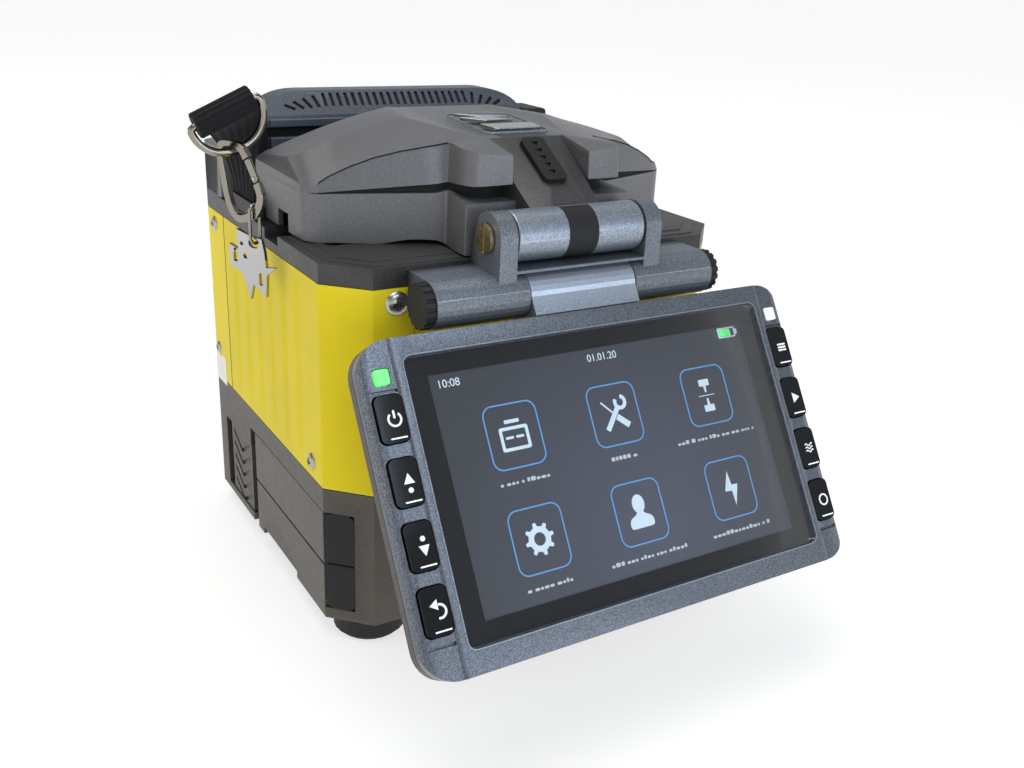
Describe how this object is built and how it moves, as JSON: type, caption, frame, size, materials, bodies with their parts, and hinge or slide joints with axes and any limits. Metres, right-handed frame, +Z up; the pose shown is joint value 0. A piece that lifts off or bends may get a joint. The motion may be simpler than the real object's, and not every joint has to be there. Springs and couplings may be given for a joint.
{
  "type": "fiber fusion splicer",
  "caption": "Portable optical fiber fusion splicer with tilting touch screen, hinged wind cover, tube heater, slide-in battery pack and strap hook.",
  "frame": {"origin": "on the table, under the middle of the whole outline including the screen and the strap ring", "axes": "+Z up, screen faces -Y, fibers run along X, +X to the right of someone facing the screen"},
  "size_m": [0.1674, 0.1924, 0.1686],
  "materials": {
    "cast_grey": "satin fine-grained paint",
    "dark_plastic": "fine moulded texture",
    "cover_grey": "metallic grey paint on plastic",
    "yellow_paint": "satin yellow paint",
    "black_plastic": "satin black",
    "gloss_black": "gloss black",
    "rubber": "matte rubber",
    "glass": "smooth",
    "display": "lit display",
    "board": "solder mask",
    "steel": "ground",
    "chrome": "polished",
    "nickel": "warm nickel plate",
    "brass": "machined",
    "ceramic": "ground ceramic",
    "aluminium": "bead blasted",
    "green_light": "lit window",
    "white_light": "frosted window",
    "webbing": "woven"
  },
  "bodies": {
    "body": {"lower_base": "dark_plastic", "foot_front_left": "rubber", "foot_front_right": "rubber", "foot_rear_left": "rubber", "foot_rear_right": "rubber", "hinge_cap_left": "rubber", "hinge_cap_right": "rubber", "left_side_panel": "yellow_paint", "right_side_panel": "yellow_paint", "front_panel": "yellow_paint", "rear_panel": "yellow_paint", "port_block": "black_plastic", "inner_deck": "black_plastic", "front_electrode_mount": "black_plastic", "rear_electrode_mount": "black_plastic", "heater_base": "black_plastic", "strap_anchor": "black_plastic", "main_board": "board", "top_frame": "cast_grey", "screen_hinge_shaft": "steel", "front_electrode": "steel", "rear_electrode": "steel", "cover_pin": "brass", "microscope": "aluminium", "heater_channel": "aluminium", "left_v_groove": "ceramic", "right_v_groove": "ceramic", "strap_webbing": "webbing"},
    "screen": {"screen_bezel": "cast_grey", "screen_back": "dark_plastic", "screen_knuckle": "aluminium", "display_glass": "glass", "display_panel": "display", "led_left": "green_light", "led_right": "white_light"},
    "cover": {"wind_cover": "cover_grey", "barrel_sleeve": "rubber", "cover_pad": "rubber", "cover_badge": "chrome"},
    "heater_cover": {"heater_lid": "dark_plastic"},
    "pack": {"battery_pack": "dark_plastic", "battery_grip": "gloss_black"},
    "latch": {"battery_latch": "dark_plastic"},
    "left_stage": {"left_feed_stage": "aluminium"},
    "right_stage": {"right_feed_stage": "aluminium"},
    "left_clamp": {"left_fiber_clamp": "black_plastic"},
    "right_clamp": {"right_fiber_clamp": "black_plastic"},
    "ring": {"strap_d_ring": "nickel"},
    "hook": {"snap_hook": "nickel"},
    "gate": {"snap_gate": "nickel"},
    "link": {"wire_link": "nickel"},
    "tag": {"tool_tag": "chrome"},
    "key_power_body": {"key_power": "gloss_black"},
    "key_select_body": {"key_select": "gloss_black"},
    "key_up_body": {"key_up": "gloss_black"},
    "key_run_body": {"key_run": "gloss_black"},
    "key_down_body": {"key_down": "gloss_black"},
    "key_heat_body": {"key_heat": "gloss_black"},
    "key_back_body": {"key_back": "gloss_black"},
    "key_stop_body": {"key_stop": "gloss_black"}
  },
  "joints": [
    {"name": "screen_tilt", "type": "hinge", "parent": "body", "child": "screen", "pos_m": [0.01065, -0.03959, 0.1135], "axis": [1, 0, 0], "range_deg": [-70, 31]},
    {"name": "cover_swing", "type": "hinge", "parent": "body", "child": "cover", "pos_m": [0.01065, -0.03679, 0.1296], "axis": [1, 0, 0], "range_deg": [0, 95]},
    {"name": "heater_lid_swing", "type": "hinge", "parent": "body", "child": "heater_cover", "pos_m": [0.01065, 0.09321, 0.144], "axis": [-1, 0, 0], "range_deg": [0, 90]},
    {"name": "pack_slide", "type": "slide", "parent": "body", "child": "pack", "axis": [-1, 0, 0], "range_m": [0, 0.112]},
    {"name": "latch_slide", "type": "slide", "parent": "body", "child": "latch", "axis": [0, 1, 0], "range_m": [0, 0.004], "stiffness_N_per_m": 300},
    {"name": "left_feed", "type": "slide", "parent": "body", "child": "left_stage", "axis": [1, 0, 0], "range_m": [-0.0015, 0.003]},
    {"name": "right_feed", "type": "slide", "parent": "body", "child": "right_stage", "axis": [-1, 0, 0], "range_m": [-0.0015, 0.003]},
    {"name": "left_clamp_hinge", "type": "hinge", "parent": "left_stage", "child": "left_clamp", "pos_m": [-0.03035, 0.03271, 0.1252], "axis": [-1, 0, 0], "range_deg": [0, 40]},
    {"name": "right_clamp_hinge", "type": "hinge", "parent": "right_stage", "child": "right_clamp", "pos_m": [0.05165, 0.03271, 0.1252], "axis": [-1, 0, 0], "range_deg": [0, 40]},
    {"name": "ring_swing", "type": "hinge", "parent": "body", "child": "ring", "pos_m": [-0.07295, 0.02221, 0.1611], "axis": [0.9085, 0, 0.4179], "range_deg": [-15, 4]},
    {"name": "hook_swing", "type": "hinge", "parent": "ring", "child": "hook", "pos_m": [-0.07128, 0.02221, 0.14647], "axis": [0.6157, -0.788, 0], "range_deg": [-15, 0]},
    {"name": "gate_swing", "type": "hinge", "parent": "hook", "child": "gate", "pos_m": [-0.06302, 0.01165, 0.13895], "axis": [0.788, 0.6157, 0], "range_deg": [0, 18], "stiffness_Nm_per_rad": 0.004},
    {"name": "link_swing", "type": "hinge", "parent": "hook", "child": "link", "pos_m": [-0.06364, 0.01244, 0.12527], "axis": [0.9511, 0.309, 0], "range_deg": [-5, 4]},
    {"name": "tag_swing", "type": "hinge", "parent": "link", "child": "tag", "pos_m": [-0.06364, 0.01244, 0.11317], "axis": [0.9511, 0.309, 0], "range_deg": [-8, 12]},
    {"name": "key_power_press", "type": "slide", "parent": "screen", "child": "key_power_body", "axis": [0, 0.8454, -0.5341], "range_m": [0, 0.0008], "stiffness_N_per_m": 900},
    {"name": "key_select_press", "type": "slide", "parent": "screen", "child": "key_select_body", "axis": [0, 0.8454, -0.5341], "range_m": [0, 0.0008], "stiffness_N_per_m": 900},
    {"name": "key_up_press", "type": "slide", "parent": "screen", "child": "key_up_body", "axis": [0, 0.8454, -0.5341], "range_m": [0, 0.0008], "stiffness_N_per_m": 900},
    {"name": "key_run_press", "type": "slide", "parent": "screen", "child": "key_run_body", "axis": [0, 0.8454, -0.5341], "range_m": [0, 0.0008], "stiffness_N_per_m": 900},
    {"name": "key_down_press", "type": "slide", "parent": "screen", "child": "key_down_body", "axis": [0, 0.8454, -0.5341], "range_m": [0, 0.0008], "stiffness_N_per_m": 900},
    {"name": "key_heat_press", "type": "slide", "parent": "screen", "child": "key_heat_body", "axis": [0, 0.8454, -0.5341], "range_m": [0, 0.0008], "stiffness_N_per_m": 900},
    {"name": "key_back_press", "type": "slide", "parent": "screen", "child": "key_back_body", "axis": [0, 0.8454, -0.5341], "range_m": [0, 0.0008], "stiffness_N_per_m": 900},
    {"name": "key_stop_press", "type": "slide", "parent": "screen", "child": "key_stop_body", "axis": [0, 0.8454, -0.5341], "range_m": [0, 0.0008], "stiffness_N_per_m": 900}
  ]
}
